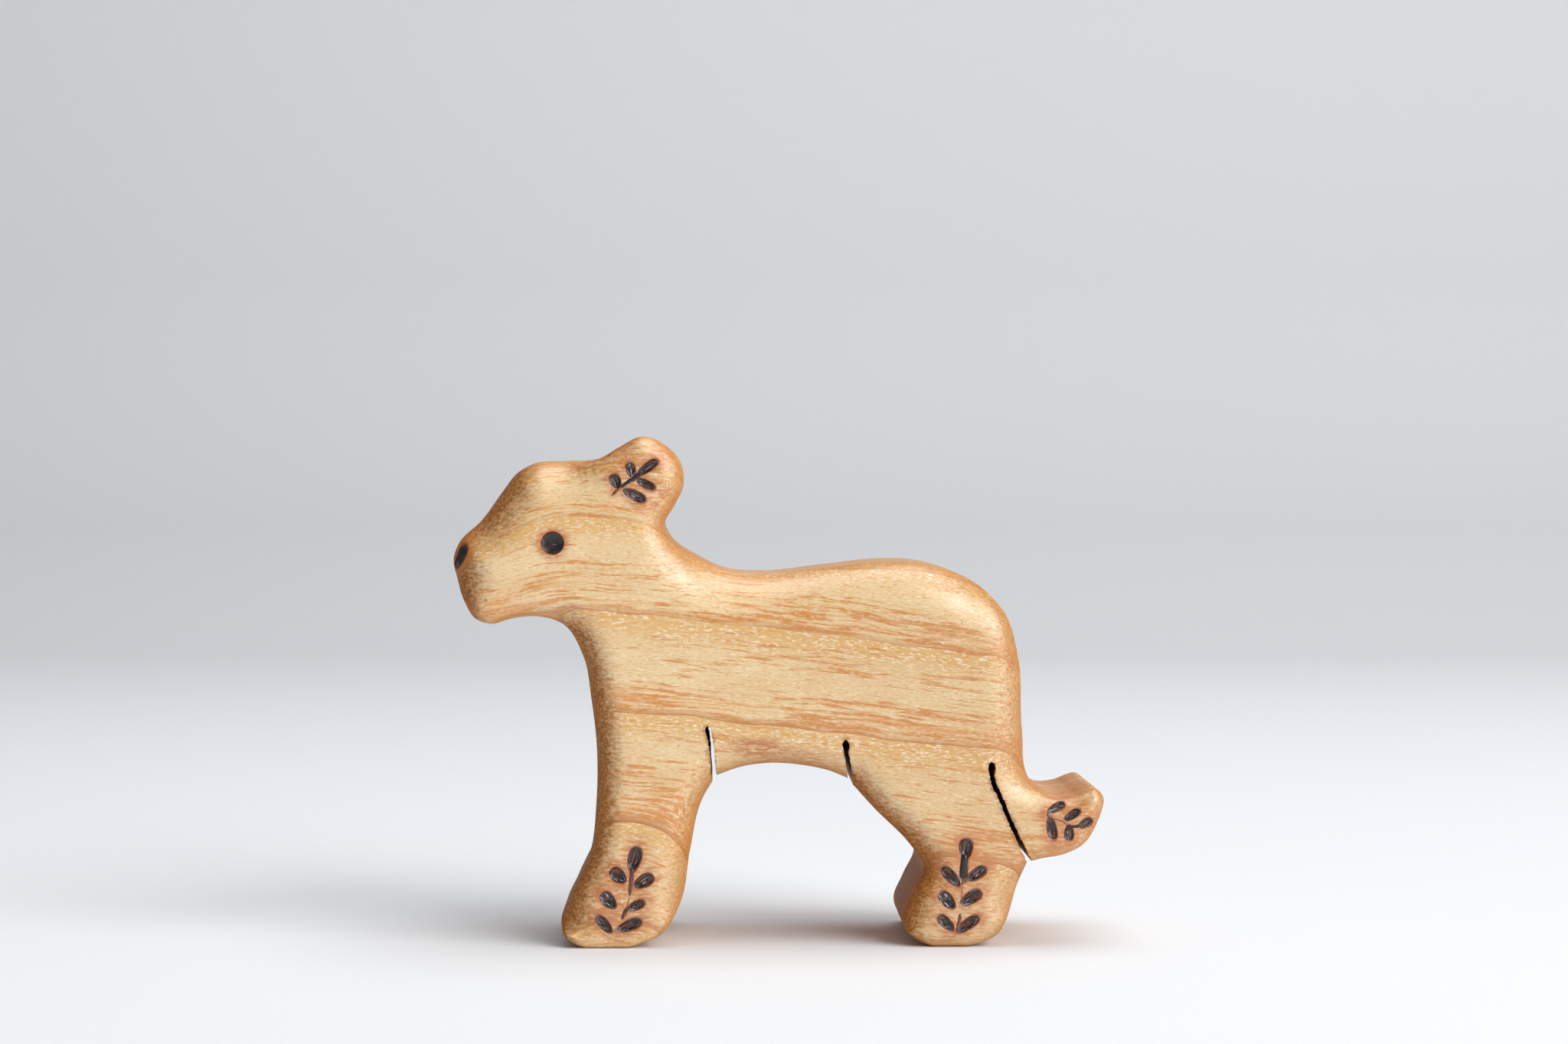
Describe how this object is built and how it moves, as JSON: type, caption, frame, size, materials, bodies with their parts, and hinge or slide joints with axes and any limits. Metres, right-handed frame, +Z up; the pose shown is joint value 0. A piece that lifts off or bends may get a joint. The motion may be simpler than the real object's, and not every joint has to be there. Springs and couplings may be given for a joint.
{
  "type": "lion figurine",
  "caption": "Small standing lion cub sawn from one wooden board, with rounded edges, thin saw cuts and burnt eyes, nostrils and leaf sprigs.",
  "frame": {"origin": "on the floor plane, under the middle of the figure's bounding box", "axes": "head towards -X, tail towards +X, the cub's left side towards -Y, +Z up"},
  "size_m": [0.0668, 0.022, 0.0523],
  "materials": {
    "oiled_wood": "cherry-like wood, grain along the body, sanded smooth and oiled to a soft satin",
    "charred_wood": "wood burnt near-black by a hot iron, slightly glossy, ridged along the strokes"
  },
  "bodies": {
    "root": {"cub_body": "oiled_wood", "eye_left": "charred_wood", "eye_right": "charred_wood", "nostril_left": "charred_wood", "nostril_right": "charred_wood", "ear_sprig_left": "charred_wood", "ear_sprig_right": "charred_wood", "fore_paw_sprig_left": "charred_wood", "fore_paw_sprig_right": "charred_wood", "hind_paw_sprig_left": "charred_wood", "hind_paw_sprig_right": "charred_wood", "tail_sprig_left": "charred_wood", "tail_sprig_right": "charred_wood"}
  },
  "joints": []
}
